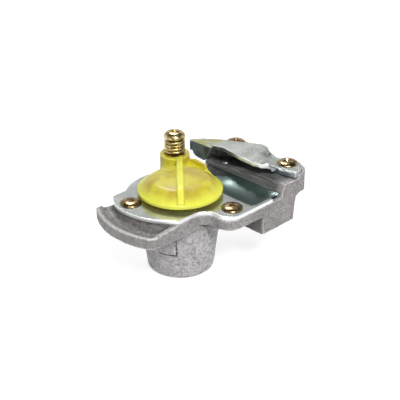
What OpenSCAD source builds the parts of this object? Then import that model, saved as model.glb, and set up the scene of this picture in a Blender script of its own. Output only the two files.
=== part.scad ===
// Palm coupling head for a lorry air brake line: a die-cast body that stands on
// its port boss, a zinc-plated face plate and claw plate screwed onto it, a rubber
// seal ring under a spring-loaded swivel cover, and a ball detent in the claw.
// The seal axis is Z, the port mouth lies at Z = 0 and the claw lies towards +X.

/* [Port] */
// Nominal diameter of the port thread
port_thread_d = 22; // [18:0.5:24]
// Pitch of the port thread
port_pitch = 1.5; // [1:0.25:2]
// Depth of the threaded port from its mouth
port_depth = 16; // [12:0.5:20]
// Diameter of the air passage above the port
passage_d = 15; // [10:0.5:16]
// Diameter of the port boss at its mouth
boss_d = 34; // [32:0.5:36]
// Draft angle of the boss wall
boss_draft = 6.5; // [4:0.5:7]
// Chamfer round the boss mouth
boss_chamfer = 1.2; // [0.5:0.1:2]

/* [Casting] */
// Height of the machined deck above the port mouth
deck_z = 37.5; // [35:0.25:40]
// Thickness of the cast deck under the face plate
deck_t = 5.5; // [5:0.25:6.5]
// Radius of the round middle of the casting
drum_r = 28; // [27:0.5:29]
// Distance of the straight front wall from the seal axis
front_y = 36.5; // [35:0.5:40]
// Distance of the far end of the casting from the seal axis
end_x = 53; // [52:0.5:56]
// Distance of the back of the claw from the seal axis
back_x = 57; // [56.5:0.5:60]
// Height of the screw seat of the claw above the deck
seat_rise = 8.5; // [8:0.25:10]
// Height of the slide way inside the claw above the deck
way_rise = 6.5; // [5.5:0.25:7]
// Fall of the slide way towards its closed end
way_fall = 3.2; // [2:0.2:3.6]
// Depth of the block under the claw end
block_h = 10; // [8:0.5:14]

/* [Lug] */
// Radius of the outer arc of the lug
lug_r = 42; // [40:0.5:44]
// Thickness of the lug at its rim
lug_t = 5.8; // [5:0.1:6.5]
// Depth of the lug's underside below the deck
lug_drop = 7.5; // [7:0.25:9]
// Depth of the dished ledge inside the lug's rim
ledge_depth = 1.8; // [1:0.1:2.5]
// Width of the raised rim along the lug's edges
rim_w = 1.8; // [1:0.1:3]
// Distance of the lug's front wall from the seal axis
lug_front = 20; // [18.5:0.5:20.5]
// Distance of the lug's back side from the seal axis
lug_back = 24; // [23:0.5:25]
// Radius of the lug's corners
lug_corner = 5; // [3:0.5:7]

/* [Sheet metal] */
// Thickness of the face plate and the claw plate
sheet_t = 2; // [1.5:0.1:2.5]
// Depth of the pressed dish in the face plate
dish_depth = 3; // [2:0.1:3.4]
// Width of the pressed dish
dish_w = 18; // [14:0.2:18.4]
// Length of the pressed dish
dish_l = 35.4; // [30:0.2:36]
// Height of the pressed crown of the claw plate above its seat
crown_rise = 4.2; // [3:0.1:5]

/* [Cover] */
// Diameter of the swivel cover
cover_d = 42.7; // [40:0.1:44]
// Height of the cover's rim
cover_rim_h = 1.9; // [1.4:0.1:2.5]
// Diameter of the cover's top, where the skirt starts
cover_top_d = 30; // [26:0.5:34]
// Height of the cover's crown above its rim
cover_crown = 5.8; // [5:0.1:6.4]
// Rise of the domed top from the skirt to the middle
cover_dome = 1; // [0.5:0.1:1.5]
// Wall thickness of the cover
cover_t = 1.8; // [1.4:0.1:2.2]
// Width of the middle rib
rib_w = 3; // [2:0.1:4]
// Distance of the pivot from the seal axis
pivot_r = 27.4; // [27:0.1:29]
// Direction of the pivot, counted from the claw
pivot_angle = 51.7; // [50:0.5:56]
// Diameter of the boss round the pivot
pivot_boss_d = 15.4; // [13:0.2:16]
// Height of the boss round the pivot
pivot_boss_h = 9.5; // [9:0.1:11]
// Diameter of the pivot bolt
pivot_d = 6; // [5:0.5:6]
// Height of the pivot bolt's head
bolt_head_h = 3.2; // [2.5:0.1:4]

/* [Spring] */
// Outer diameter of the cover spring
spring_d = 10.2; // [10:0.1:11]
// Diameter of the spring wire
spring_wire = 1.5; // [1.2:0.1:1.7]
// Fitted length of the cover spring
spring_l = 8.3; // [7.6:0.1:11]
// Turns of the cover spring
spring_turns = 3.75; // [3:0.25:4]

/* [Fasteners] */
// Diameter of the screw heads
screw_head_d = 10.6; // [9:0.1:11]
// Height of the screw heads
screw_head_h = 1.7; // [1.4:0.1:2]
// Diameter of the screw shanks
screw_d = 4; // [3.5:0.25:5]
// Length of the screw shanks
screw_l = 6; // [5:0.5:6]

/* [Detent] */
// Diameter of the detent ball
ball_d = 5; // [4.5:0.25:5.5]
// Height of the ball above the slide way
ball_proud = 1.3; // [1:0.1:1.5]
// Depth of the spring bore under the ball
detent_bore_h = 4.2; // [3.5:0.1:4.5]

/* [Hidden] */
$fn = 64;

cast_grey = "#b3abaa";
zinc = "#c3cbd0";
brass = "#b08a3c";
yellow = "#e3d83a";
black = "#26262a";
steel = "#a9a9ad";

// Clearances: running fits, free gap between moving pieces, sheet edge beside the casting
run_gap = 0.05;
free_gap = 0.3;
edge_gap = 0.3;
// Overlap that joins two shapes of one piece
bite = 0.5;
// Size larger than the whole part, for cutting
huge = 200;

// Heights worked out from the deck
plate_z = deck_z + sheet_t;
way_z = deck_z + way_rise;
way_low_z = way_z - way_fall;
seat_z = deck_z + seat_rise;
claw_z = seat_z + sheet_t;
crown_z = claw_z + crown_rise;
under_z = deck_z - deck_t;
lug_z = deck_z - lug_drop;
rim_z = lug_z + lug_t;
port_minor_r = (port_thread_d - 1.0825 * port_pitch) / 2;

// Seal ring and its seat
seal_r = 13;
seal_flange_r = 16;
seal_flange_t = 3.5;
seal_lip = 1;
seal_top_z = plate_z + screw_head_h - seal_lip / 10;

// Pivot of the cover and the stack above it
pivot = pivot_r * [cos(pivot_angle), sin(pivot_angle)];
cover_z = plate_z + screw_head_h + free_gap;
pivot_top = plate_z + free_gap + pivot_boss_h;
washer_t = 0.8;
spring_z = pivot_top + washer_t;
bolt_head_z = spring_z + spring_l;

// Straight edge between the face plate and the slide way, and the ends of that way
way_x = 35.2;
way_slope = 2.3;
way_end_y = 17.5;
fall_from_y = -9;
fall_to_y = 9;

// Wing of the face plate over the root of the lug
wing_at = [1, 5];
wing_r = 33;

// Places of the screws, the pressed dish and the detent
left_screw_in = 7.4;
left_screw_turn = 169;
left_screw = wing_at + (wing_r - left_screw_in) * [cos(left_screw_turn), sin(left_screw_turn)];
middle_screw = [7.2, 7.8 - front_y];
right_screw = [end_x - 2, 10.4 - front_y];
back_screw = [back_x - 6, 10];
dish_margin = [0.8, 3.1];
dish_at = [way_x - dish_margin.x - dish_w / 2, dish_margin.y - front_y + dish_l / 2];
ball_at = [way_x + 5.2, 6.7];

// Corner that the face plate leaves free beside the end of the slide way
plate_notch = [6.7, 2.2];

// Waist in the back of the claw, between its crown and the right screw
waist = [52.4, -18];

// Corner between the lug's front wall and the long side
neck = [-2.6, -lug_front];
neck_r = 7;

// Rounded corner of a path at b between a and c, as points along its arc
function corner(a, b, c, r, steps = 6) =
  let (u = (a - b) / norm(a - b), w = (c - b) / norm(c - b))
  let (half = acos(u * w) / 2, d = r / tan(half), mid = b + (u + w) / norm(u + w) * r / sin(half))
  let (p = b + u * d - mid, q = b + w * d - mid, turn = 2 * (90 - half))
  let (way = p.x * q.y - p.y * q.x > 0 ? 1 : -1)
  [for (i = [0:steps]) let (s = way * turn * i / steps)
    mid + [p.x * cos(s) - p.y * sin(s), p.x * sin(s) + p.y * cos(s)]];

// Closed outline through points [x, y, radius], each corner rounded by its radius
function rounded(pts) =
  let (n = len(pts), at = [for (p = pts) [p.x, p.y]])
  [for (i = [0:n - 1]) each pts[i][2] > 0
    ? corner(at[(i + n - 1) % n], at[i], at[(i + 1) % n], pts[i][2])
    : [at[i]]];

module at_z(z, h) {
  translate([0, 0, z]) linear_extrude(h) children();
}

// Profile in X and Z drawn through the part along Y, from y = from to y = to
module along_y(from, to) {
  translate([0, to, 0]) rotate([90, 0, 0]) linear_extrude(to - from) children();
}

// Profile in Y and Z drawn through the part along X, from x = from to x = to
module along_x(from, to) {
  translate([from, 0, 0]) rotate([90, 0, 90]) linear_extrude(to - from) children();
}

// Long side of the casting in plan, from the neck round the claw end to the drum
module long_side() {
  polygon(rounded([
    [neck.x - 2 * neck_r, neck.y, 0], [neck.x, neck.y, neck_r], [neck.x, -front_y, neck_r],
    [end_x, -front_y, 1.5], [back_x - 1, -31, 3], [back_x - 1, -24, 4],
    [waist.x + 0.8, waist.y, 4], [back_x, -10, 5], [back_x, 12, 8], [back_x - 13, way_end_y + 3.5, 5],
    [way_x - 8, way_end_y, 0], [0, way_end_y, 0], [neck.x - 2 * neck_r, 0, 0]]));
}

// Round middle of the casting in plan, open at the neck, with the ear under the pivot
module drum(inset = 0) {
  difference() {
    circle(drum_r - inset);
    translate([neck.x - huge, neck.y - huge]) square(huge);
  }
  translate(pivot) circle(pivot_boss_d / 2 + 1 - inset);
}

// Wing of the face plate in plan
module wing(inset = 0) {
  intersection() {
    translate(wing_at) circle(wing_r - inset);
    circle(wing_r + 0.5 - inset);
    translate([-2 * wing_r, neck.y + inset]) square([2 * wing_r, lug_back - 2 - neck.y - 2 * inset]);
  }
}

// Centre of the round front corner of the lug
lug_corner_y = lug_corner - lug_front;
lug_corner_at = [-sqrt(pow(lug_r - lug_corner, 2) - pow(lug_corner_y, 2)), lug_corner_y];

// Lug in plan: a ring sector with a round front corner
module lug(inset = 0) {
  intersection() {
    circle(lug_r - inset);
    translate([-2 * lug_r, inset - lug_front]) square([2 * lug_r, lug_front + lug_back - 2 * inset]);
    union() {
      translate(lug_corner_at) circle(lug_corner - inset);
      translate([-2 * lug_r, lug_corner_at.y]) square([4 * lug_r, 2 * lug_r]);
      translate([lug_corner_at.x, -2 * lug_r]) square([2 * lug_r, 4 * lug_r]);
    }
  }
}

// Boss with its draft, and the small pad that carries the lug's front wall
module boss_solid() {
  top_z = under_z + bite;
  top_r = boss_d / 2 + top_z * tan(boss_draft);
  rotate_extrude() polygon([
    [0, 0], [boss_d / 2 - boss_chamfer, 0], [boss_d / 2, boss_chamfer], [top_r, top_z], [0, top_z]]);
  pad_angle = 205;
  pad_w = 9.5;
  pad_low = 15.5;
  pad_proud = 3.6;
  rotate([0, 0, pad_angle]) translate([0, -pad_w / 2, pad_low])
    cube([boss_d / 2 + pad_proud, pad_w, lug_z - pad_low + bite]);
}

// Lug with its dished ledge, left proud along the arc and the front wall
module lug_solid() {
  ledge_z = rim_z - ledge_depth;
  at_z(lug_z, lug_t - ledge_depth) lug();
  difference() {
    at_z(ledge_z - bite, ledge_depth + bite) lug();
    translate([0, 0, ledge_z]) intersection() {
      rotate_extrude() polygon([
        [0, 0], [lug_r - rim_w - 2 * ledge_depth, 0], [lug_r - rim_w, ledge_depth],
        [lug_r - rim_w, huge], [0, huge]]);
      at_z(0, huge) translate([-huge, rim_w - lug_front]) square([huge, huge]);
    }
  }
  wall_w = 3;
  wall_end = neck.x - 2 * neck_r;
  along_y(-lug_front, wall_w - lug_front) polygon([
    [lug_corner_at.x, lug_z], [lug_corner_at.x, rim_z], [wall_end, deck_z], [wall_end, lug_z]]);
}

// Slide way of the claw: sloped towards the dish and falling to its closed end
module way_solid() {
  intersection() {
    at_z(under_z, way_rise + deck_t) long_side();
    along_y(-front_y, way_end_y) polygon([
      [way_x, under_z], [way_x, plate_z], [way_x + way_slope, way_z], [huge, way_z], [huge, under_z]]);
    along_x(0, huge) polygon([
      [-huge, under_z], [-huge, way_z], [fall_from_y, way_z], [fall_to_y, way_low_z],
      [huge, way_low_z], [huge, under_z]]);
  }
}

// Line of the guide flange beside the open end of the claw, from its closed end to its mouth
flange_to = [45.8, 0.7 - front_y];
flange_line = [[44.5, -14.5], [43.6, -27.5], flange_to];

// Everything in front of the guide flange in plan, or in front of a line behind it
module open_side(behind = 0) {
  edge = [for (p = flange_line) p + [behind, 0]];
  tip_x = way_x - 5;
  polygon([[0, -huge], [edge[2].x, -huge], edge[2], edge[1], edge[0], [tip_x, 0], [tip_x, huge], [0, huge]]);
}

// Open channel above the slide way, in plan
module channel() {
  crown(crown_skirt + edge_gap);
  open_side(sheet_t + edge_gap);
}

// Seat of the claw plate round the channel, with the end post beside the sheet's edge
post_w = 2.4;
post_l = 11;
module seat_solid() {
  at_z(under_z, deck_t + seat_rise) difference() {
    intersection() {
      long_side();
      translate([way_x + way_slope, -huge]) square(2 * huge);
    }
    channel();
  }
  at_z(seat_z - bite, sheet_t + bite) difference() {
    intersection() {
      long_side();
      translate([end_x - post_w, -front_y]) square(post_l);
    }
    translate([edge_gap, 0]) claw_trim();
  }
}

// Block under the claw end
block_x = [21.2, 45];
block_back_y = -8;
block_draft = 1.4;
module under_block() {
  low_z = under_z - block_h;
  wide = block_x[1] + block_draft;
  intersection() {
    at_z(low_z, block_h + bite) polygon(rounded([
      [block_x[0], -front_y, 1.5], [wide, -front_y, 1.5],
      [wide + 2, block_back_y, 3], [block_x[0], block_back_y, 3]]));
    along_y(-huge, huge) polygon([
      [0, low_z - 1], [block_x[1], low_z - 1], [wide, under_z], [wide, huge], [0, huge]]);
  }
}

// Relief that thins the end beyond the block
module end_relief() {
  along_y(-huge, huge) polygon([
    [block_x[1] + block_draft, under_z - 1], [block_x[1] + block_draft, under_z + 2.2],
    [block_x[1] + 4.9, under_z + 4], [huge, under_z + 4], [huge, under_z - 1]]);
}

// Straight hole for a screw shank, from h below z up to the open
module shank_hole(at, z, h, d = screw_d) {
  translate([at.x, at.y, z - h]) cylinder(d = d + 2 * run_gap, h = huge);
}

// Pressed dish: a long hollow, round at the back and square at the front, where it runs out
// against a second hollow across it
dish_R = (dish_w * dish_w / 4 + dish_depth * dish_depth) / (2 * dish_depth);
dish_half = (dish_l - dish_w) / 2;
dish_extra = 0.2;
dish_end = sqrt(pow(dish_R, 2) - pow(dish_R - dish_depth - dish_extra, 2));
module dish_hollow(down = 0) {
  translate([dish_at.x, dish_at.y, plate_z - dish_depth + dish_R - down]) {
    rotate([90, 0, 0]) cylinder(r = dish_R, h = 2 * dish_half, center = true);
    translate([0, dish_half, 0]) sphere(dish_R);
    translate([0, -dish_half, 0]) intersection() {
      translate([0, bite, 0]) rotate([90, 0, 0]) cylinder(r = dish_R, h = dish_R);
      translate([0, 0, -dish_extra]) rotate([0, 90, 0]) cylinder(r = dish_R, h = 3 * dish_R, center = true);
    }
  }
}

// Outline of the dish in plan, grown all round
module dish_plan(grow) {
  translate(dish_at) {
    translate([-dish_w / 2 - grow, -dish_half - dish_end - grow])
      square([dish_w + 2 * grow, 2 * dish_half + dish_end + grow]);
    translate([0, dish_half]) circle(dish_w / 2 + grow);
  }
}

// Pocket of the casting that takes the dish
module dish_pocket() {
  at_z(deck_z - dish_depth - free_gap, huge) dish_plan(1.5 * free_gap);
}

way_at_ball = way_z - way_fall * (ball_at.y - fall_from_y) / (fall_to_y - fall_from_y);
ball_z = way_at_ball + ball_proud - ball_d / 2;
detent_low = ball_z - ball_d / 2 - detent_bore_h;
module detent_bore() {
  bore_d = ball_d + 2 * run_gap;
  translate([ball_at.x, ball_at.y, detent_low]) cylinder(d = bore_d, h = ball_z - detent_low);
  translate([ball_at.x, ball_at.y, ball_z]) sphere(d = bore_d);
}

screw_hole_h = screw_l - sheet_t + bite;
module body() color(cast_grey) difference() {
  union() {
    boss_solid();
    lug_solid();
    at_z(lug_z, lug_drop) {
      drum();
      intersection() {
        wing(0.8);
        lug();
      }
    }
    at_z(under_z, deck_t) long_side();
    way_solid();
    seat_solid();
    under_block();
  }
  end_relief();
  dish_pocket();
  // Port, air passage and seat of the seal ring
  translate([0, 0, -1]) cylinder(r = port_minor_r, h = port_depth + 1);
  translate([0, 0, port_depth - 1]) cylinder(d = passage_d, h = huge);
  translate([0, 0, deck_z - seal_flange_t]) cylinder(r = seal_flange_r + run_gap, h = huge);
  shank_hole(left_screw, deck_z, screw_hole_h);
  shank_hole(middle_screw, deck_z, screw_hole_h);
  shank_hole(right_screw, seat_z, screw_hole_h);
  shank_hole(back_screw, seat_z, screw_hole_h);
  shank_hole(pivot, lug_z, 1, pivot_d);
  detent_bore();
}

// Outline of the face plate: drum, wing and the long side up to the slide way
module plate_outline() {
  drum(edge_gap);
  wing();
  difference() {
    intersection() {
      long_side();
      translate([-huge, -huge]) square([huge + way_x - run_gap, huge + way_end_y - 1]);
    }
    translate([way_x - plate_notch.x, -front_y - 1]) square([huge, plate_notch.y + 1]);
  }
}

module face_plate() color(zinc) difference() {
  union() {
    at_z(deck_z, sheet_t) plate_outline();
    intersection() {
      dish_hollow(sheet_t);
      at_z(under_z, deck_t + bite) dish_plan(free_gap);
    }
  }
  dish_hollow();
  at_z(0, huge) circle(seal_r + 2 * run_gap);
  shank_hole(left_screw, deck_z, 1);
  shank_hole(middle_screw, deck_z, 1);
  shank_hole(pivot, deck_z, 1, pivot_d);
}

// Footprint of the pressed crown of the claw plate, before its inner edge is trimmed
crown_skirt = 1.6;
crown_pts = [[24, 24, 0], [24, -18, 0], [31, -23.5, 3], [40.5, -26, 3], [47.5, -18, 4],
  [53.5, -9, 5], [41.5, 12.5, 8], [36.2, 19.4, 4], [30, 24, 1]];
module crown(grow = 0) {
  offset(delta = grow) polygon(rounded(crown_pts));
}

// Outline of the claw plate in plan: inner edge of the crown, flange, screw ear, waist and back
claw_inset = 0.8;
crown_edge_pts = [[29.6, 23.6, 1], [30.2, 17, 3], [34.9, 4.5, 6], [32.9, -10, 12], [32.3, -19, 5],
  [33.4, -22.9, 2]];
crown_tip_pts = [[42, way_end_y - 1, 1.5], [36.5, 20, 2], [31.5, 24.2, 1]];
module claw_trim() {
  ear_x = back_x - 1 - claw_inset;
  side_x = back_x - claw_inset;
  polygon(rounded(concat(
    crown_edge_pts,
    [[40.2, -25.2, 2.5], [44.6, -26.2, 2], [flange_to.x, flange_to.y, 1],
      [end_x - post_w - edge_gap, flange_to.y, 1], [ear_x, -30.5, 3], [ear_x, -23.8, 4],
      [waist.x, waist.y, 4], [side_x, -9.6, 5], [side_x, 12, 7], [back_x - 13, way_end_y + 2.6, 4]],
    crown_tip_pts)));
}

// Tapered pan of the crown, drawn lower and tighter for its inside
module crown_pan(wall) {
  taper = 0.8;
  slice = 0.1;
  hull() {
    at_z(crown_z - wall - slice, slice) crown(-wall * taper);
    at_z(seat_z - wall, slice) crown(crown_skirt - wall * taper);
  }
}

// Downturned tongue at the closed end of the claw
tongue_x = 30.3;
tongue_y = [8.5, 9.5, 13, 22, 23.4];
tongue_low = plate_z + 3.4;
module tongue() {
  along_x(tongue_x, tongue_x + sheet_t) polygon(rounded([
    [tongue_y[0], crown_z, 0], [tongue_y[4], crown_z, 1], [tongue_y[3], tongue_low + 1, 4],
    [tongue_y[2], tongue_low, 2.5], [tongue_y[1], crown_z - 1.5 * sheet_t, 0]]));
}

// Downturned guide flange, carried on under the crown and joined to it there
module flange_plan() {
  polygon(concat(flange_line, [for (i = [2, 1, 0]) flange_line[i] + [sheet_t, 0]]));
}
module flange() {
  low = way_z + free_gap;
  at_z(low, claw_z - low) flange_plan();
  at_z(low, crown_z - sheet_t / 2 - low) intersection() {
    flange_plan();
    crown();
    claw_trim();
  }
}

module claw_plate() color(zinc) difference() {
  union() {
    difference() {
      intersection() {
        union() {
          crown_pan(0);
          at_z(seat_z, sheet_t) difference() {
            long_side();
            open_side();
          }
        }
        at_z(0, huge) claw_trim();
      }
      crown_pan(sheet_t);
    }
    tongue();
    flange();
  }
  shank_hole(right_screw, seat_z, 1);
  shank_hole(back_screw, seat_z, 1);
}

module seal_ring() color(black) rotate_extrude() difference() {
  union() {
    translate([0, deck_z - seal_flange_t]) square([seal_flange_r, seal_flange_t]);
    translate([0, deck_z - bite]) square([seal_r, seal_top_z - deck_z - seal_lip + bite]);
    translate([0, seal_top_z - 1.5 * seal_lip]) square([seal_r - seal_lip, 1.5 * seal_lip]);
    translate([seal_r - seal_lip, seal_top_z - seal_lip]) circle(seal_lip);
  }
  translate([-1, 0]) square([passage_d / 2 + 1, huge]);
}

// Section of the cover, drawn in by a wall: rim, sloped skirt and domed top
cover_rim_z = cover_z + cover_rim_h;
crown_top = cover_rim_z + cover_crown;
shoulder_z = crown_top - cover_dome;
cover_R = (cover_top_d * cover_top_d / 4 + cover_dome * cover_dome) / (2 * cover_dome);
rim_step = 0.7;
skirt_r = cover_d / 2 - rim_step;
skirt_lean = (skirt_r - cover_top_d / 2) / (shoulder_z - cover_rim_z);
module cover_section(wall) {
  rim_r = cover_d / 2 - wall;
  step_z = cover_rim_z - wall / 2;
  above = 2 * cover_dome;
  high_z = shoulder_z - wall / 2 + above;
  intersection() {
    polygon([
      [0, cover_z - wall], [rim_r, cover_z - wall], [rim_r, step_z], [skirt_r - wall, step_z],
      [cover_top_d / 2 - wall - above * skirt_lean, high_z], [0, high_z]]);
    translate([0, crown_top - cover_R - wall]) circle(cover_R);
  }
}

// Disc of the cover, hollow underneath, with the ring that closes on the seal
module cover_shell() {
  rotate_extrude() difference() {
    cover_section(0);
    difference() {
      cover_section(cover_t);
      translate([seal_r - cover_t, cover_z]) square([cover_t, huge]);
    }
  }
}

// Flat arm between disc and pivot boss: tangent to both towards the claw, straight on the other side
arm_spread = acos((cover_d - pivot_boss_d) / 2 / pivot_r);
function arm_turn(a) = [cos(pivot_angle + a), sin(pivot_angle + a)];
module cover_arm() {
  disc_r = cover_d / 2 - free_gap;
  boss_r = pivot_boss_d / 2 - free_gap;
  difference() {
    at_z(cover_z, cover_rim_h - free_gap) polygon([
      disc_r * arm_turn(-arm_spread), pivot + boss_r * arm_turn(-arm_spread),
      pivot + boss_r * arm_turn(90), pivot / 2 + boss_r * arm_turn(90)]);
    translate([0, 0, cover_z - 1]) cylinder(d = cover_d - 2 * cover_t, h = huge);
  }
}

// Upright grip fin along the arm's side towards the claw, drawn from the disc to the boss
fin_at = [0.02, 0.2, 0.62];
fin_rise = [4.4, 4, 1.2];
module cover_fin() {
  fin_t = 1.6;
  length = pivot_r * sin(arm_spread);
  low_z = cover_rim_z - bite;
  rotate([0, 0, pivot_angle - arm_spread + 90]) translate([0, 2 * free_gap - cover_d / 2, 0])
    along_y(0, fin_t) polygon(rounded([
      [0, low_z, 0], [fin_at[0] * length, cover_rim_z, 0],
      [fin_at[1] * length, cover_rim_z + fin_rise[0], 5],
      [fin_at[2] * length, cover_rim_z + fin_rise[1], 6],
      [length, cover_rim_z + fin_rise[2], 0], [length, low_z, 0]]));
}

// Middle rib: level over the top, then down the skirt to the rim
rib_angle = pivot_angle - 4.7;
rib_proud = 1.2;
module cover_rib() {
  mid = cover_t / 2;
  rib_top = crown_top + 0.6 * rib_proud;
  top_r = cover_top_d / 2;
  boss_s = pivot_r - pivot_boss_d / 2 + 1;
  rotate([0, 0, rib_angle]) along_y(-rib_w / 2, rib_w / 2) polygon([
    [mid - skirt_r, cover_rim_z - mid], [-skirt_r, cover_rim_z - mid],
    [-skirt_r, cover_rim_z + rib_proud], [-top_r, shoulder_z + rib_proud],
    [rib_w - top_r, rib_top], [boss_s, rib_top],
    [boss_s, cover_rim_z], [skirt_r - mid, cover_rim_z], [top_r - mid, shoulder_z - mid],
    [0, crown_top - mid], [mid - top_r, shoulder_z - mid]]);
}

module cover() color(yellow) difference() {
  union() {
    cover_shell();
    cover_arm();
    cover_fin();
    translate([pivot.x, pivot.y, plate_z + free_gap]) cylinder(d = pivot_boss_d, h = pivot_boss_h);
    cover_rib();
  }
  shank_hole(pivot, plate_z, 1, pivot_d);
}

module pivot_bolt() color(brass) translate([pivot.x, pivot.y, 0]) {
  dome_r = 7.5;
  translate([0, 0, lug_z]) cylinder(d = pivot_d, h = bolt_head_z - lug_z + bite);
  intersection() {
    translate([0, 0, bolt_head_z]) cylinder(d = spring_d + 0.8, h = bolt_head_h);
    translate([0, 0, bolt_head_z + bolt_head_h - dome_r]) sphere(dome_r);
  }
}

// Coil of round wire between two heights, its end turns closed up flat
module coil(r, wire, low, high, turns, sides = 8, per_turn = 16) {
  n = round(turns * per_turn);
  rise = high - low - wire;
  flat = 0.5;
  function climb(t) = t < flat ? 0 : t > turns - flat ? 1 : (t - flat) / (turns - 2 * flat);
  rings = [for (i = [0:n]) let (t = i / per_turn, a = 360 * t)
    [for (j = [0:sides - 1]) let (b = 360 * j / sides, q = r + wire / 2 * cos(b))
      [q * cos(a), q * sin(a), low + wire / 2 + rise * climb(t) + wire / 2 * sin(b)]]];
  points = [for (ring = rings) each ring];
  walls = [for (i = [0:n - 1], j = [0:sides - 1]) let (k = (j + 1) % sides)
    [i * sides + k, (i + 1) * sides + k, (i + 1) * sides + j, i * sides + j]];
  caps = [[for (j = [sides - 1:-1:0]) j], [for (j = [0:sides - 1]) n * sides + j]];
  polyhedron(points, concat(walls, caps), convexity = 6);
}

module cover_spring() color(brass) translate([pivot.x, pivot.y, 0])
  coil((spring_d - spring_wire) / 2, spring_wire, spring_z + run_gap, bolt_head_z - run_gap, spring_turns);

module spring_washer() color(brass) translate([pivot.x, pivot.y, pivot_top + run_gap]) difference() {
  cylinder(d = spring_d + 0.6, h = washer_t - run_gap);
  translate([0, 0, -1]) cylinder(d = pivot_d + 2 * run_gap, h = huge);
}

module detent_ball() color(steel) translate([ball_at.x, ball_at.y, ball_z]) sphere(d = ball_d);

// Detent spring, its top turn round the underside of the ball
module detent_spring() color(steel) translate([ball_at.x, ball_at.y, 0]) {
  wire = 0.7;
  r = ball_d / 2 - 1;
  seat = ball_z - sqrt(pow(ball_d / 2 + wire / 2 + run_gap, 2) - r * r) + wire / 2;
  coil(r, wire, detent_low + run_gap, seat, 4.5, 6, 12);
}

// Pan head screw with a cross recess, its head resting on the sheet
module screw(at, z) {
  rise = 0.7 * screw_head_h;
  dome_r = (screw_head_d * screw_head_d / 4 + rise * rise) / (2 * rise);
  recess = [5.2, 1.3, 1.1];
  translate([at.x, at.y, z]) color(brass) difference() {
    union() {
      intersection() {
        cylinder(d = screw_head_d, h = screw_head_h);
        translate([0, 0, screw_head_h - dome_r]) sphere(dome_r);
      }
      translate([0, 0, -screw_l]) cylinder(d = screw_d, h = screw_l + bite);
    }
    for (a = [45, 135]) rotate([0, 0, a])
      translate([-recess.x / 2, -recess.y / 2, screw_head_h - recess.z]) cube([recess.x, recess.y, huge]);
  }
}

module face_screw_left() screw(left_screw, plate_z);
module face_screw_middle() screw(middle_screw, plate_z);
module claw_screw_right() screw(right_screw, claw_z);
module claw_screw_back() screw(back_screw, claw_z);

body();
face_plate();
claw_plate();
seal_ring();
cover();
pivot_bolt();
cover_spring();
spring_washer();
detent_ball();
detent_spring();
face_screw_left();
face_screw_middle();
claw_screw_right();
claw_screw_back();
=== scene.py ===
# %% [markdown]
# # A palm coupling head, from bare solids to finished metal and plastic
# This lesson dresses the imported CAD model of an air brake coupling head. The CAD
# solids say where each piece is and how large it is. Blender adds what a photograph
# shows: soft cast corners, pressed sheet, moulded plastic and plated screws.

# %% Load the frame
import math

import bpy
from mathutils import Matrix, Vector


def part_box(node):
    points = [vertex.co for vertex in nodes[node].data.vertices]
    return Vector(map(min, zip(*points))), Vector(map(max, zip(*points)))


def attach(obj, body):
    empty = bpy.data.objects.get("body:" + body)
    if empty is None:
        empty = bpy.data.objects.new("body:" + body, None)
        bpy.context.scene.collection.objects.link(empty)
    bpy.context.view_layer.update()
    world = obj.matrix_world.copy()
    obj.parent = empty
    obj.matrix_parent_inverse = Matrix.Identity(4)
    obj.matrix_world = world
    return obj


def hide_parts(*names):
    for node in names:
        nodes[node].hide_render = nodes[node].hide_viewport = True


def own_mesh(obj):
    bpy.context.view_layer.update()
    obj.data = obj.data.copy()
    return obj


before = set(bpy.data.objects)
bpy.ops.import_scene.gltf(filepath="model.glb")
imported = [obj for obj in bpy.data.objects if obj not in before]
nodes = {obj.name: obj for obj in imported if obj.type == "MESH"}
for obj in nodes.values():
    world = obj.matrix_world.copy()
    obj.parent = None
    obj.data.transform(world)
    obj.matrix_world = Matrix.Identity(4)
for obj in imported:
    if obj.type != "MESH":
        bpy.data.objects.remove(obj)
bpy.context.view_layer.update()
MM = 0.001
print("CAD nodes:", ", ".join(sorted(nodes)))

# %% [markdown]
# The camera stands where the photographer stood: to the front left of the head, half
# a metre away and looking down by about 27 degrees. A 90 mm lens gives the flat,
# calm perspective of a product picture.

# %% Camera
look_at = Vector((7.0, -7.0, 35.95)) * MM
stand_at = Vector((-306.6, -320.6, 266.8)) * MM
bpy.ops.object.camera_add(location=stand_at)
camera = bpy.context.object
camera.rotation_euler = (look_at - stand_at).to_track_quat("-Z", "Y").to_euler()
camera.data.lens = 90
camera.data.sensor_width = 36
camera.data.clip_start = 0.02
bpy.context.scene.camera = camera
print("camera at", [round(x / MM) for x in stand_at], "mm")

# %% [markdown]
# Small helpers come first. An operator acts on everything that is selected, so each
# helper clears the selection before it starts. `merged_copy` takes the mesh of a CAD
# node, whose triangles are loose, and joins them to one skin that can be worked on.

# %% Helpers for meshes
def choose(piece):
    bpy.ops.object.select_all(action="DESELECT")
    piece.select_set(True)
    bpy.context.view_layer.objects.active = piece


def edit(piece, select="SELECT"):
    choose(piece)
    bpy.ops.object.mode_set(mode="EDIT")
    bpy.ops.mesh.select_all(action=select)


def leave_edit():
    bpy.ops.object.mode_set(mode="OBJECT")


def merged_copy(node, name):
    mesh = nodes[node].data.copy()
    mesh.materials.clear()
    piece = bpy.data.objects.new(name, mesh)
    bpy.context.collection.objects.link(piece)
    choose(piece)
    if mesh.has_custom_normals:
        bpy.ops.mesh.customdata_custom_splitnormals_clear()
    edit(piece)
    bpy.ops.mesh.remove_doubles(threshold=1e-6)
    leave_edit()
    return piece


def apply_modifier(piece, kind, **settings):
    choose(piece)
    modifier = piece.modifiers.new(kind.title(), kind)
    for key, value in settings.items():
        setattr(modifier, key, value)
    bpy.ops.object.modifier_apply(modifier=modifier.name)


def smooth(piece, degrees=40):
    choose(piece)
    bpy.ops.object.shade_smooth_by_angle(angle=math.radians(degrees))


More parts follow.
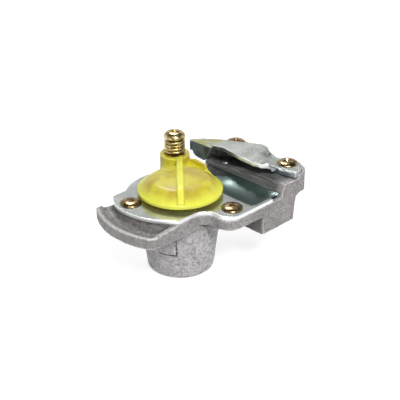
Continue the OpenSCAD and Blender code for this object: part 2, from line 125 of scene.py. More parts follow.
def settle(piece, material, body, slot, *replaced):
    piece.data.materials.clear()
    piece.data.materials.append(material)
    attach(piece, body)
    if replaced:
        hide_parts(*replaced)
    print(piece.name, "has", len(piece.data.polygons), "faces")

# %% [markdown]
# Cast, pressed and moulded pieces share one way of making. The solid is wrapped in an
# even skin of small squares, a voxel remesh, and the skin is relaxed a little, which
# rounds each edge and fills each inner corner. The even squares also let the surface
# carry fine unevenness, which a solid with large flat faces can't.
#
# Then a record is kept of how far each point stands out: 0.5 on flat ground, more on
# an edge, less in a corner. The finishes read it, so that edges come out rubbed bright, as on
# metal that has been handled, and corners and creases are painted darker as shade.

# %% Helpers for skins
def skin(piece, voxel, relax):
    apply_modifier(piece, "REMESH", mode="VOXEL", voxel_size=voxel, adaptivity=0.0)
    apply_modifier(piece, "SMOOTH", factor=0.5, iterations=relax)


def relax_where(piece, inside, repeat):
    edit(piece, "DESELECT")
    leave_edit()
    for vertex in piece.data.vertices:
        vertex.select = inside(*(vertex.co / MM))
    bpy.ops.object.mode_set(mode="EDIT")
    bpy.ops.mesh.vertices_smooth(factor=0.5, repeat=repeat)
    leave_edit()


def roughen(piece, name, size, strength, depth=2):
    texture = bpy.data.textures.new(name, "CLOUDS")
    texture.noise_scale = size
    texture.noise_depth = depth
    apply_modifier(
        piece, "DISPLACE", texture=texture, texture_coords="LOCAL", strength=strength,
        mid_level=0.5)


def record_wear_and_shade(piece, blur=1, name="wear_and_shade"):
    choose(piece)
    bpy.ops.geometry.color_attribute_add(
        name=name, domain="CORNER", data_type="FLOAT_COLOR", color=(1, 1, 1, 1))
    bpy.ops.paint.vertex_color_dirt(
        blur_strength=1.0, blur_iterations=blur, dirt_angle=math.radians(70),
        clean_angle=math.radians(110), dirt_only=False, normalize=False)

# %% [markdown]
# A finish is a small tree of shader nodes. `finish` starts one with a Principled
# shader, and `add` puts a node into it with its settings, so that each material below
# reads as a short recipe.

# %% Helpers for finishes
def finish(name, **values):
    material = bpy.data.materials.new(name)
    material.use_nodes = True
    shader = material.node_tree.nodes["Principled BSDF"]
    for key, value in values.items():
        shader.inputs[key.replace("_", " ")].default_value = value
    return material, material.node_tree, shader


def add(tree, kind, inputs=None, **settings):
    node = tree.nodes.new("ShaderNode" + kind)
    for key, value in settings.items():
        setattr(node, key, value)
    for key, value in (inputs or {}).items():
        if hasattr(value, "links"):
            tree.links.new(value, node.inputs[key])
        else:
            node.inputs[key].default_value = value
    return node


def ramp(tree, factor, *stops):
    node = add(tree, "ValToRGB", {"Fac": factor})
    elements = node.color_ramp.elements
    while len(elements) < len(stops):
        elements.new(0.5)
    for element, (place, colour) in zip(elements, stops):
        element.position = place
        element.color = (*colour, 1) if isinstance(colour, tuple) else (colour, colour, colour, 1)
    return node.outputs["Color"]


def noise(tree, scale, detail=3.0, roughness=0.55, stretch=None):
    place = add(tree, "TexCoord").outputs["Object"]
    if stretch:
        place = add(tree, "Mapping", {"Vector": place, "Scale": stretch}).outputs["Vector"]
    return add(tree, "TexNoise", {
        "Vector": place, "Scale": scale, "Detail": detail, "Roughness": roughness}).outputs["Fac"]


def mixed(tree, factor, a, b, blend="MIX"):
    node = add(tree, "Mix", data_type="RGBA", blend_type=blend)
    for socket, value in ((0, factor), (6, a), (7, b)):
        if hasattr(value, "links"):
            tree.links.new(value, node.inputs[socket])
        else:
            node.inputs[socket].default_value = (*value, 1) if isinstance(value, tuple) else value
    return node.outputs[2]


def math_node(tree, operation, a, b):
    return add(tree, "Math", {0: a, 1: b}, operation=operation).outputs[0]


def bump(tree, shader, height, strength, distance):
    node = add(tree, "Bump", {"Height": height, "Strength": strength, "Distance": distance})
    tree.links.new(node.outputs["Normal"], shader.inputs["Normal"])


def drive(tree, shader, **values):
    for key, value in values.items():
        tree.links.new(value, shader.inputs[key.replace("_", " ")])

# %% [markdown]
# A mask says where a tone belongs. It is a number from 0 to 1 that comes from the place
# in the piece, from the direction in which the surface faces or from the recorded wear.
# Every mask fades over a short way, because no stain has a hard edge. `all_of` and
# `any_of` join masks as "and" and "or" do.

# %% Helpers for masks
def fade(tree, value, start, end):
    return add(tree, "MapRange", {
        "Value": value, "From Min": start, "From Max": end},
        interpolation_type="SMOOTHSTEP").outputs["Result"]


def along(tree, axis):
    place = add(tree, "TexCoord").outputs["Object"]
    return add(tree, "SeparateXYZ", {"Vector": place}).outputs[axis]


def where(tree, axis, start, end):
    return fade(tree, along(tree, axis), start * MM, end * MM)


def near(tree, value, middle, half):
    return add(
        tree, "Math", {0: value, 1: middle * MM, 2: half * MM}, operation="COMPARE").outputs[0]


def turned_place(tree, degrees):
    place = add(tree, "TexCoord").outputs["Object"]
    turn = add(tree, "Mapping", {"Vector": place, "Rotation": (0, 0, math.radians(-degrees))})
    return add(tree, "SeparateXYZ", {"Vector": turn.outputs["Vector"]}).outputs


def facing(tree, axis):
    normal = add(tree, "NewGeometry").outputs["Normal"]
    return add(tree, "SeparateXYZ", {"Vector": normal}).outputs[axis]


def wear_and_shade(tree, name="wear_and_shade"):
    return add(tree, "VertexColor", layer_name=name).outputs["Color"]


def all_of(tree, share, *masks):
    for mask in masks:
        share = math_node(tree, "MULTIPLY", share, mask)
    return share


def any_of(tree, share, *masks):
    for mask in masks:
        share = math_node(tree, "MAXIMUM", share, mask)
    return share

# %% [markdown]
# The casting is die-cast aluminium: a warm grey, cloudy skin with darker specks where
# the melt left pores. Noises of falling size make the clouds, the mottling and the pores.
# The boss is painted lighter and the walls darker, as painted light and shade. The ledge inside
# the lug's rim, under the sheet's edge, is painted darker still as shade. The recorded wear then
# rubs the edges bright.

# %% Cast aluminium
cast, tree, shader = finish("cast_aluminium", Metallic=0.3)
clouds = noise(tree, 90, 3, 0.5)
mottle = noise(tree, 620, 4, 0.6)
grain = noise(tree, 1900, 3, 0.65)
flat = add(tree, "VectorMath", {
    0: add(tree, "TexCoord").outputs["Object"], 1: (1, 1, 0)}, operation="MULTIPLY").outputs[0]
reach = add(tree, "VectorMath", {0: flat}, operation="LENGTH").outputs["Value"]
on_boss = all_of(tree, fade(tree, reach, 21 * MM, 19.5 * MM), where(tree, "Z", 30, 27))
# painted light and shade: the boss is painted lighter and the walls darker
walls = ramp(tree, clouds, (0.34, (0.29, 0.268, 0.268)), (0.66, (0.38, 0.362, 0.354)))
boss = ramp(tree, clouds, (0.34, (0.54, 0.515, 0.535)), (0.66, (0.65, 0.63, 0.64)))
tone = mixed(tree, on_boss, walls, boss)
tone = mixed(tree, ramp(tree, mottle, (0.34, 0.75), (0.55, 0.0)), tone, (0.22, 0.205, 0.205))
tone = mixed(tree, ramp(tree, grain, (0.55, 0.0), (0.68, 0.75)), tone, (0.76, 0.74, 0.74))
tone = mixed(tree, ramp(tree, grain, (0.32, 0.75), (0.44, 0.0)), tone, (0.18, 0.165, 0.17))
# painted shade on the ledge under the sheet's edge
ledge_shade = all_of(
    tree, where(tree, "X", -14, -17), where(tree, "Y", -18.6, -17.6),
    where(tree, "Z", 31.0, 31.6), fade(tree, reach, 41.0 * MM, 39.2 * MM))
ledge_shade_tone = ramp(tree, mottle, (0.36, (0.08, 0.075, 0.07)), (0.60, (0.27, 0.258, 0.24)))
tone = mixed(tree, all_of(tree, ledge_shade, 0.75), tone, ledge_shade_tone)
stands_out = fade(tree, wear_and_shade(tree), 0.54, 0.68)
edge = all_of(tree, stands_out, ramp(tree, mottle, (0.35, 0.2), (0.6, 0.9)))
tone = mixed(tree, edge, tone, (0.74, 0.72, 0.715))
pits = noise(tree, 1100, 1, 0.4)
tone = mixed(tree, ramp(tree, pits, (0.22, 1.0), (0.27, 0.0)), tone, (0.10, 0.092, 0.09))
print("tones and pores of", cast.name)

# %% [markdown]
# The slide way under the claw is planed, with fine lines along its length, and painted dark as
# the shade under the claw. Its place tells it from the rest of the casting, so it needs no
# material of its own.

# %% Slide way
way = all_of(
    tree, where(tree, "X", 34.7, 35.3), where(tree, "Z", 38.9, 39.6), where(tree, "Z", 45.6, 44.9),
    where(tree, "Y", -34.5, -31.0))
lines = noise(tree, 1500, 3, 0.6, (1.0, 0.06, 1.0))
# planed lines, darkened as painted shade under the claw
planed_and_shaded = ramp(
    tree, lines, (0.34, (0.05, 0.05, 0.052)), (0.52, (0.115, 0.113, 0.117)),
    (0.66, (0.24, 0.235, 0.24)))
tone = mixed(tree, all_of(tree, way, 0.92), tone, planed_and_shaded)
print("planed the slide way of", cast.name)

# %% [markdown]
# Three places are painted dark. Every inner corner, which the second, wider record of the
# surface tells, is painted shade, and so is the side of the block that faces the boss. A dark
# line also runs round the foot of the pad on the boss. The last two are found by their place.
# The pad is turned about the port, so its two lines are drawn in a place that is turned with it.

# %% Painted shade and a dark line
PAD_TURN = 205
# painted shade in every inner corner
corners = fade(tree, wear_and_shade(tree, "corner_shade"), 0.475, 0.38)
pad = turned_place(tree, PAD_TURN)
# a dark line round the foot of the pad
beside = all_of(
    tree, near(tree, pad["Y"], 5.0, 0.3), fade(tree, pad["Z"], 14.0 * MM, 14.4 * MM))
below = all_of(
    tree, near(tree, pad["Z"], 14.45, 0.4), fade(tree, pad["Y"], 5.2 * MM, 5.0 * MM),
    fade(tree, pad["Y"], -5.2 * MM, -5.0 * MM))
foot = all_of(
    tree, any_of(tree, beside, below), fade(tree, pad["X"], 14.0 * MM, 15.0 * MM),
    fade(tree, pad["X"], 19.4 * MM, 18.9 * MM), ramp(tree, mottle, (0.35, 1.0), (0.6, 0.7)))
# painted shade on the side of the block that faces the boss
inner_side_shade = all_of(
    tree, fade(tree, facing(tree, "X"), -0.5, -0.85), where(tree, "X", 20, 22),
    where(tree, "Z", 34, 31), 0.8)
tone = mixed(tree, any_of(tree, corners, foot, inner_side_shade), tone, (0.05, 0.045, 0.045))
drive(tree, shader, Base_Color=tone, Roughness=ramp(tree, mottle, (0.3, 0.66), (0.7, 0.46)))
bump(tree, shader, mixed(tree, 0.6, mottle, grain), 0.45, 0.18 * MM)
print("made", cast.name)

# %% [markdown]
# Both sheets are zinc-plated steel. The plating is a soft mirror with a cold, slightly
# green tint. The dish looks darker because it mirrors the ceiling, and because it is painted a
# darker teal, a painted reflection of that dark ceiling; it is also a little duller than the flat.
# Punching leaves the outer cut edge bare and bright. The narrow strip between dish and slide way
# counts as dish.

# %% Zinc on the face sheet
zinc, tree, shader = finish("zinc_face")
waves = noise(tree, 130, 2, 0.5)
specks = noise(tree, 1200, 3, 0.6)
tone = ramp(tree, waves, (0.35, (0.49, 0.515, 0.50)), (0.68, (0.57, 0.59, 0.575)))
tone = mixed(tree, ramp(tree, specks, (0.55, 0.0), (0.72, 0.25)), tone, (0.70, 0.73, 0.72))
by_way = all_of(tree, where(tree, "X", 14, 15), where(tree, "Y", -34.5, -34.1))
strip = all_of(tree, by_way, where(tree, "X", 33.0, 33.4))
in_dish = any_of(tree, strip, where(tree, "Z", 39.3, 38.9))
# painted reflection: the dish's darker teal stands in for the dark ceiling it mirrors
tone = mixed(tree, in_dish, tone, (0.36, 0.47, 0.455))
edge = math_node(tree, "SUBTRACT", fade(tree, wear_and_shade(tree), 0.58, 0.68), in_dish)
cut = math_node(tree, "SUBTRACT", fade(tree, facing(tree, "Z"), 0.55, 0.25), by_way)
rubbed = any_of(tree, edge, cut, 0.0)
tone = mixed(tree, rubbed, tone, (0.88, 0.89, 0.89))
drive(tree, shader, Base_Color=tone, Metallic=ramp(tree, in_dish, (0.0, 0.92), (1.0, 1.0)))
satin = mixed(tree, in_dish, ramp(tree, waves, (0.3, 0.21), (0.7, 0.26)), (0.32, 0.32, 0.32))
drive(tree, shader, Roughness=mixed(tree, rubbed, satin, (0.45, 0.45, 0.45)))
print("made", zinc.name)

# %% [markdown]
# On the claw the top is painted lighter and the sides and inside dark blue, as painted light
# and shade; the direction in which the surface faces tells the two apart. The cut edge is bright
# again, but only at the open end. The flange there is painted paler towards its right end, a
# painted reflection. Towards the tip the top is given a straw-coloured patch.

# %% Zinc on the claw sheet
claw_zinc, tree, shader = finish("zinc_claw", Metallic=0.8)
waves = noise(tree, 160, 3, 0.5)
specks = noise(tree, 1000, 3, 0.6)
up = facing(tree, "Z")
# painted light on the top and painted shade on the sides, by facing
top = ramp(tree, waves, (0.35, (0.33, 0.35, 0.325)), (0.65, (0.46, 0.48, 0.45)))
top = mixed(tree, ramp(tree, specks, (0.56, 0.0), (0.70, 0.7)), top, (0.74, 0.76, 0.73))
shaded_side = ramp(tree, waves, (0.35, (0.06, 0.085, 0.10)), (0.68, (0.17, 0.21, 0.235)))
# painted reflection: the flange grows paler towards its right end
shaded_side = mixed(tree, where(tree, "Y", -20, -26), shaded_side, (0.19, 0.235, 0.265))
shaded_side = mixed(tree, where(tree, "Y", -31, -35), shaded_side, (0.40, 0.45, 0.48))
tone = mixed(tree, fade(tree, up, 0.30, 0.62), shaded_side, top)
# a straw-coloured patch on top towards the tip
straw_patch = all_of(
    tree, where(tree, "Y", 3, 14), fade(tree, up, 0.4, 0.8),
    ramp(tree, waves, (0.42, 0.0), (0.56, 0.85)))
tone = mixed(tree, straw_patch, tone, (0.30, 0.29, 0.06))
open_end = where(tree, "Y", -1, -12)
top_edge = where(tree, "Z", 46.4, 47.2)
edge = all_of(
    tree, fade(tree, wear_and_shade(tree), 0.56, 0.66), top_edge, any_of(tree, open_end, 0.25))
bare = all_of(tree, fade(tree, up, 0.80, 0.40), top_edge, open_end, where(tree, "X", 46, 45))
tone = mixed(tree, any_of(tree, edge, bare), tone, (0.88, 0.895, 0.895))
drive(tree, shader, Base_Color=tone, Roughness=ramp(tree, specks, (0.3, 0.42), (0.75, 0.58)))
bump(tree, shader, mixed(tree, 0.4, waves, specks), 0.25, 0.3 * MM)
print("made", claw_zinc.name)

# %% [markdown]
# The cover is injection-moulded in a greenish yellow. The plastic lets some light
# through, so the shader gets a little subsurface light. Towards the top, beside the rib, it is
# painted a darker olive with a brownish cloud, as shade on the up-facing dome; the rib is left out
# of it. The parts that stand out are rubbed paler, and creases are painted darker as shade.

# %% Yellow plastic
RIB_TURN = 47
yellow, tree, shader = finish(
    "yellow_plastic", Roughness=0.34, Subsurface_Weight=0.7, Subsurface_Scale=5.0 * MM, IOR=1.48)
shader.inputs["Subsurface Radius"].default_value = (1.0, 0.85, 0.15)
cloudy = noise(tree, 95, 2, 0.5)
tone = ramp(tree, cloudy, (0.34, (0.80, 0.765, 0.07)), (0.62, (0.86, 0.845, 0.11)))
# painted shade: the up-facing top beside the rib turns olive
top_shade = ramp(tree, cloudy, (0.40, (0.50, 0.395, 0.045)), (0.58, (0.65, 0.585, 0.055)))
across = turned_place(tree, RIB_TURN)["Y"]
aside = add(tree, "Math", {0: across}, operation="ABSOLUTE").outputs[0]
beside_rib = fade(tree, aside, 1.5 * MM, 2.1 * MM)
tone = mixed(tree, all_of(tree, where(tree, "Z", 43.4, 47.4), beside_rib), tone, top_shade)
rubbed = all_of(tree, fade(tree, wear_and_shade(tree), 0.54, 0.74), 0.6)
tone = mixed(tree, rubbed, tone, (0.90, 0.87, 0.20))
# painted shade in the creases
crease_shade = all_of(tree, fade(tree, wear_and_shade(tree), 0.45, 0.30), 0.5)
tone = mixed(tree, crease_shade, tone, (0.56, 0.47, 0.015))
drive(tree, shader, Base_Color=tone)
bump(tree, shader, noise(tree, 600, 3), 0.08, 0.12 * MM)
print("made", yellow.name)

# %% [markdown]
# Screws, bolt and spring carry yellow-passivated zinc: a thin golden film that shifts
# between straw and brown from place to place. The screws are browner than the spring and
# the bolt's head, and their height tells them apart.

# %% Golden passivated steel
golden, tree, shader = finish("golden_zinc", Metallic=1.0)
film = noise(tree, 420, 3, 0.5)
brown = ramp(
    tree, film, (0.36, (0.14, 0.085, 0.035)), (0.52, (0.32, 0.215, 0.105)),
    (0.68, (0.58, 0.47, 0.28)))
straw = ramp(
    tree, film, (0.36, (0.30, 0.21, 0.075)), (0.52, (0.56, 0.43, 0.20)),
    (0.68, (0.78, 0.69, 0.43)))
drive(tree, shader, Base_Color=mixed(tree, where(tree, "Z", 50.2, 51.0), brown, straw))
drive(tree, shader, Roughness=ramp(tree, noise(tree, 1300), (0.3, 0.18), (0.7, 0.34)))
print("made", golden.name)

# %% [markdown]
# The seal is black rubber with a faint bloom, and the detent's ball and spring are
# bright steel.

# %% Rubber and bright steel
rubber, tree, shader = finish("black_rubber", Specular_IOR_Level=0.35)
bloom = noise(tree, 300, 4, 0.6)
drive(tree, shader, Base_Color=ramp(tree, bloom, (0.3, 0.012), (0.75, 0.035)))
drive(tree, shader, Roughness=ramp(tree, bloom, (0.3, 0.45), (0.75, 0.65)))
bump(tree, shader, noise(tree, 2500, 2), 0.2, 0.05 * MM)

steel, tree, shader = finish("bright_steel", Metallic=1.0)
drive(tree, shader, Base_Color=ramp(tree, noise(tree, 600), (0.3, 0.42), (0.7, 0.56)))
drive(tree, shader, Roughness=ramp(tree, noise(tree, 1500), (0.3, 0.30), (0.7, 0.42)))
print("made", rubber.name, "and", steel.name)

# %% [markdown]
# The casting comes first. Half a millimetre is fine enough to keep the step of the
# lug's wall over the boss, and two passes of relaxing leave corners about as round as
# a die leaves them. The solid's pad stands out too far, so a block cuts it back to a flat
# first. The inner corner of the lug's ledge is filled, which more relaxing there gives.
# Two faint displacements take away the perfect flatness: slow waves from the shrinking
# metal, and a finer skin.

# %% Casting
PAD_FLAT = 19.5 * MM
casting = merged_copy("body", "casting")
bpy.ops.object.select_all(action="DESELECT")
bpy.ops.mesh.primitive_cube_add(size=1)
block = bpy.context.object
thick, wide, tall = 4 * MM, 16 * MM, 18 * MM
block.data.transform(
    Matrix.Rotation(math.radians(PAD_TURN), 4, "Z")
    @ Matrix.Translation((PAD_FLAT + thick / 2, 0, 20.9 * MM))
    @ Matrix.Diagonal((thick, wide, tall, 1)))
apply_modifier(casting, "BOOLEAN", operation="DIFFERENCE", solver="EXACT", object=block)
bpy.data.objects.remove(block)
skin(casting, 0.5 * MM, 2)


def on_ledge(x, y, z):
    return x < -17 and y > -17.5 and 31 < z < 36.6 and math.hypot(x, y) < 39


relax_where(casting, on_ledge, 40)
roughen(casting, "cast_waves", 6 * MM, 0.22 * MM)
roughen(casting, "cast_skin", 1.6 * MM, 0.10 * MM, 1)
record_wear_and_shade(casting)
record_wear_and_shade(casting, 5, "corner_shade")
smooth(casting, 60)
settle(casting, cast, "base", "cast_aluminium", "body")

# %% [markdown]
# The face sheet is flat but for its pressed dish. The press leaves a soft rim round
# the dish, so the points near the rim are relaxed many times more than the rest. They
# are found by their place: inside a frame round the dish, and not at the outer edge.

# %% Face sheet
face_sheet = merged_copy("face_plate", "face_sheet")
skin(face_sheet, 0.34 * MM, 2)


def at_dish(x, y, z):
    return 15.5 < x < 34.6 and -34.4 < y < 3.6 and math.hypot(x, y) > 14.5


relax_where(face_sheet, at_dish, 300)
roughen(face_sheet, "sheet_waves", 14 * MM, 0.10 * MM, 1)
record_wear_and_shade(face_sheet)
smooth(face_sheet, 60)
settle(face_sheet, zinc, "base", "zinc_sheet", "face_plate")

# %% [markdown]
# The claw sheet is pressed much deeper, so its bends are soft: it gets a finer skin
# and more relaxing, and a slight waviness from the press. Towards the right screw the
# crown comes down in a slope. The steep end of the solid is cut off there with a wedge,
# and a sloped sheet takes its place before the skin joins the two.

# %% Claw sheet
claw_sheet = merged_copy("claw_plate", "claw_sheet")


def slope(name, rise):
    bpy.ops.object.select_all(action="DESELECT")
    bpy.ops.mesh.primitive_plane_add(size=1)
    sheet = bpy.context.object
    sheet.name = sheet.data.name = name
    corners = ((37.0, -26.5, 52.2), (44.8, -27.0, 47.9), (44.0, -14.0, 52.2), (50.0, -17.5, 47.9))
    for vertex, corner in zip(sheet.data.vertices, corners):
        vertex.co = Vector(corner) * MM
    edit(sheet)
    bpy.ops.mesh.extrude_region_move(TRANSFORM_OT_translate={"value": (0, 0, rise)})
    bpy.ops.mesh.select_all(action="SELECT")
    bpy.ops.mesh.normals_make_consistent(inside=False)
    leave_edit()
    return sheet


above = slope("above", 6 * MM)
apply_modifier(claw_sheet, "BOOLEAN", operation="DIFFERENCE", solver="EXACT", object=above)
bpy.data.objects.remove(above)
ramp_sheet = slope("ramp_sheet", -1.4 * MM)
choose(claw_sheet)
ramp_sheet.select_set(True)
bpy.ops.object.join()
skin(claw_sheet, 0.27 * MM, 8)


def on_slope(x, y, z):
    return 34 < x < 51 and -30 < y < -9 and z > 46.5


relax_where(claw_sheet, on_slope, 70)
roughen(claw_sheet, "claw_waves", 7 * MM, 0.35 * MM)
record_wear_and_shade(claw_sheet, 2)
smooth(claw_sheet, 60)
settle(claw_sheet, claw_zinc, "base", "zinc_sheet", "claw_plate")

# %% [markdown]
# The cover is one moulding: skirt, top, arm, fin, rib and boss run into each other with
# small fillets, which the relaxed skin gives. The dome is relaxed much more than the
# rest, so that it has no edge between skirt and top.

# %% Swivel cover
swivel_cover = merged_copy("cover", "swivel_cover")
skin(swivel_cover, 0.32 * MM, 3)


def on_dome(x, y, z):
    rib_cos, rib_sin = 0.682, 0.731
    off_rib = abs(rib_cos * y - rib_sin * x) > 2.2
    off_boss = math.hypot(x - 17.0, y - 21.5) > 9.2
    return z > 44.6 and math.hypot(x, y) < 21.5 and off_rib and off_boss


relax_where(swivel_cover, on_dome, 120)
record_wear_and_shade(swivel_cover, 2)
smooth(swivel_cover, 60)
settle(swivel_cover, yellow, "cover", "yellow_plastic", "cover")

# %% [markdown]
# Turned pieces, such as the bolt and the screws, grow from a filled circle: the cap is
# extruded up step by step, and scaled to each radius of the profile on the way.

# %% Turning helper
def turned(name, profile, sides=48):
    (radius, z), rest = profile[0], profile[1:]
    bpy.ops.object.select_all(action="DESELECT")
    bpy.ops.mesh.primitive_circle_add(
        vertices=sides, radius=radius, fill_type="NGON", location=(0, 0, z))
    piece = bpy.context.object
    piece.name = piece.data.name = name
    bpy.ops.object.transform_apply(location=True)
    edit(piece)
    for next_radius, next_z in rest:
        bpy.ops.mesh.extrude_region_move(TRANSFORM_OT_translate={"value": (0, 0, next_z - z)})
        share = next_radius / radius
        bpy.ops.transform.resize(value=(share, share, 1), center_override=(0, 0, next_z))
        radius, z = next_radius, next_z
    bpy.ops.mesh.select_all(action="SELECT")
    bpy.ops.mesh.normals_make_consistent(inside=False)
    leave_edit()
    return piece


def place(piece, at, turn=0.0):
    piece.data.transform(Matrix.Translation(at) @ Matrix.Rotation(math.radians(turn), 4, "Z"))

# %% [markdown]
# The cross recess is cut with two crossed blocks that narrow downwards, as a driver
# bit does. The same cutter serves the bolt and all the screws.

# %% Cross recess
def cross_recess(piece, top, length, width, depth):
    for turn in (0, 90):
        bpy.ops.object.select_all(action="DESELECT")
        bpy.ops.mesh.primitive_cube_add(size=1, location=(0, 0, 0))
        blade = bpy.context.object
        edit(blade)
        bpy.ops.transform.resize(value=(length, width, 2 * depth))
        bpy.ops.mesh.select_all(action="DESELECT")
        leave_edit()
        for vertex in blade.data.vertices:
            if vertex.co.z < 0:
                vertex.co.x *= 0.45
                vertex.co.y *= 0.8
        blade.data.transform(
            Matrix.Translation((0, 0, top)) @ Matrix.Rotation(math.radians(turn), 4, "Z"))
        apply_modifier(piece, "BOOLEAN", operation="DIFFERENCE", solver="EXACT", object=blade)
        bpy.data.objects.remove(blade)

# %% [markdown]
# The screws are pan heads. One is modelled at the origin and copied to the four places
# that the CAD heads give, each turned differently, as a hand with a driver leaves them.

# %% Screws
low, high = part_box("face_screw_left")
shank = 2.0 * MM
head_r = (high.x - low.x) / 2
head_h = 1.7 * MM
under = high.z - head_h - low.z
pan = turned("screw", [
    (shank, -under), (shank, 0), (0.96 * head_r, 0), (head_r, 0.10 * head_h),
    (head_r, 0.26 * head_h), (0.97 * head_r, 0.40 * head_h), (0.88 * head_r, 0.60 * head_h),
    (0.72 * head_r, 0.80 * head_h), (0.52 * head_r, 0.93 * head_h), (0.28 * head_r, head_h)], 64)
cross_recess(pan, head_h, 5.6 * MM, 1.25 * MM, 1.15 * MM)
for node, name, turn in (
        ("face_screw_left", "screw_left", 38), ("face_screw_middle", "screw_middle", 12),
        ("claw_screw_right", "screw_right", 50), ("claw_screw_back", "screw_back", 20)):
    low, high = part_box(node)
    screw = pan.copy()
    screw.data = pan.data.copy()
    screw.name = screw.data.name = name
    bpy.context.collection.objects.link(screw)
    place(screw, ((low.x + high.x) / 2, (low.y + high.y) / 2, high.z - head_h), turn)
    smooth(screw, 30)
    settle(screw, golden, "base", "yellow_zinc", node)
bpy.data.objects.remove(pan)

# %% [markdown]
# The pivot bolt carries the spring under a high round head with a cross recess.

# %% Pivot bolt
low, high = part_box("pivot_bolt")
pivot = Vector(((low.x + high.x) / 2, (low.y + high.y) / 2, 0))
bolt_r = 3.0 * MM
cap_r = (high.x - low.x) / 2
cap_h = 3.2 * MM
cap_z = high.z - cap_h
bolt = turned("bolt", [
    (bolt_r, low.z), (bolt_r, cap_z), (0.96 * cap_r, cap_z), (cap_r, cap_z + 0.08 * cap_h),
    (cap_r, cap_z + 0.30 * cap_h), (0.95 * cap_r, cap_z + 0.52 * cap_h),
    (0.84 * cap_r, cap_z + 0.74 * cap_h), (0.66 * cap_r, cap_z + 0.91 * cap_h),
    (0.4 * cap_r, cap_z + cap_h)], 64)
cross_recess(bolt, high.z, 6.4 * MM, 1.5 * MM, 1.6 * MM)
place(bolt, pivot, 25)
smooth(bolt, 30)
settle(bolt, golden, "base", "yellow_zinc", "pivot_bolt")

# %% [markdown]
# A coil spring is a circle of wire that is turned round an axis while it climbs. The
# Screw modifier does that from one upright ring. Both ends are closed with a face. Each spring
# then gets its own copy of its mesh.

# %% Springs
def coil_spring(name, node, wire_r, turns, turn, sides, wider=0.0):
    low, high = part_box(node)
    coil_r = (high.x - low.x) / 2 + wider - wire_r
    bpy.ops.object.select_all(action="DESELECT")
    bpy.ops.mesh.primitive_circle_add(vertices=sides, radius=wire_r, fill_type="NOTHING")
    coil = bpy.context.object
    coil.name = coil.data.name = name
    coil.data.transform(
        Matrix.Translation((coil_r, 0, 0)) @ Matrix.Rotation(math.radians(90), 4, "X"))
    steps = round(48 * turns)
    apply_modifier(
        coil, "SCREW", axis="Z", angle=2 * math.pi * turns, steps=steps, render_steps=steps,
        iterations=1, screw_offset=high.z - low.z - 2 * wire_r, use_merge_vertices=True)
    edit(coil, "DESELECT")
    bpy.ops.mesh.select_non_manifold()
    bpy.ops.mesh.edge_face_add()
    bpy.ops.mesh.select_all(action="SELECT")
    bpy.ops.mesh.normals_make_consistent(inside=False)
    leave_edit()
    place(coil, ((low.x + high.x) / 2, (low.y + high.y) / 2, low.z + wire_r), turn)
    smooth(coil, 50)
    return coil


def give_way(coil):
    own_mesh(coil)


cover_coil = coil_spring("cover_coil", "cover_spring", 0.85 * MM, 3.75, 150, 20, 0.3 * MM)
settle(cover_coil, golden, "base", "yellow_zinc", "cover_spring")
give_way(cover_coil)

ball_coil = coil_spring("ball_coil", "detent_spring", 0.35 * MM, 4.5, 0, 12)
settle(ball_coil, steel, "base", "bright_steel", "detent_spring")
give_way(ball_coil)

# %% [markdown]
# The pieces that the cover hides keep their CAD shape and only get their finish.

# %% Hidden pieces
for node, material in (("seal_ring", rubber), ("spring_washer", golden), ("detent_ball", steel)):
    mesh = nodes[node].data
    mesh.materials.clear()
    mesh.materials.append(material)
    print(node, "is now", material.name)

# %% [markdown]
# The studio has a floor of pale paper that takes the part's shadow. A paper bright enough
# to look white would also light the part from below, so it is greyer than it looks, and
# glows only for rays that come straight from the camera or from a mirror.

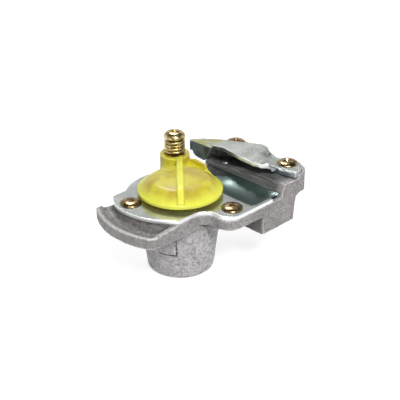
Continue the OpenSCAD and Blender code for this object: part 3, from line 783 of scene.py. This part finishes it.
# %% Floor
bpy.ops.object.select_all(action="DESELECT")
bpy.ops.mesh.primitive_plane_add(size=6, location=(0, 0, -0.02 * MM))
floor = bpy.context.object
floor.name = "floor"
paper, tree, shader = finish("white_paper", Roughness=0.9)
shader.inputs["Base Color"].default_value = (0.36, 0.36, 0.36, 1)
path = add(tree, "LightPath").outputs
seen = math_node(tree, "MAXIMUM", path["Is Camera Ray"], path["Is Glossy Ray"])
seen = math_node(tree, "MAXIMUM", seen, path["Is Transmission Ray"])
shader.inputs["Emission Color"].default_value = (1, 1, 1, 1)
drive(tree, shader, Emission_Strength=math_node(tree, "MULTIPLY", seen, 0.80))
floor.data.materials.append(paper)
print("laid", floor.name, "of", paper.name)

# %% [markdown]
# The sky follows the same idea. The camera sees plain white behind the part, and the part
# gets a weak, even light from all round. Mirrors see white near the horizon and a dark
# ceiling above it: that is what tells the flat sheet from its dish, and a curved edge
# from a flat face.

# %% Sky
world = bpy.data.worlds.new("studio")
bpy.context.scene.world = world
world.use_nodes = True
tree = world.node_tree
tree.nodes.clear()
path = add(tree, "LightPath").outputs
mirrored = math_node(tree, "MAXIMUM", path["Is Glossy Ray"], path["Is Transmission Ray"])
up = add(tree, "SeparateXYZ", {"Vector": add(tree, "TexCoord").outputs["Generated"]}).outputs["Z"]
ceiling = ramp(tree, up, (0.20, 0.95), (0.46, 0.68), (0.66, (0.065, 0.09, 0.085)))
soft = add(tree, "Background", {"Color": (1, 1, 1, 1), "Strength": 0.14}).outputs[0]
room = add(tree, "Background", {"Color": ceiling, "Strength": 1.0}).outputs[0]
white = add(tree, "Background", {"Color": (1, 1, 1, 1), "Strength": 1.0}).outputs[0]
around = add(tree, "MixShader", {0: mirrored, 1: soft, 2: room}).outputs[0]
shown = add(tree, "MixShader", {0: path["Is Camera Ray"], 1: around, 2: white}).outputs[0]
add(tree, "OutputWorld", {"Surface": shown})
print("made the", world.name)

# %% [markdown]
# Three soft boxes light the part. The key stands beside the camera, so that walls are
# brighter than ledges, as in the photograph. A second one behind the part puts the
# round gleam into the dish, and a weak third one lifts the left side.

# %% Lamps
def softbox(name, at, watts, size):
    bpy.ops.object.light_add(type="AREA", location=at)
    lamp = bpy.context.object
    lamp.name = name
    lamp.data.energy = watts
    lamp.data.size = size
    lamp.rotation_euler = (look_at - Vector(at)).to_track_quat("-Z", "Y").to_euler()


softbox("key", (-0.255, -0.545, 0.64), 6.1, 0.22)
softbox("gleam", (0.30, 0.40, 0.70), 2.4, 0.24)
softbox("left", (-0.47, -0.22, 0.75), 1.0, 0.30)
bpy.context.scene.view_settings.view_transform = "Standard"
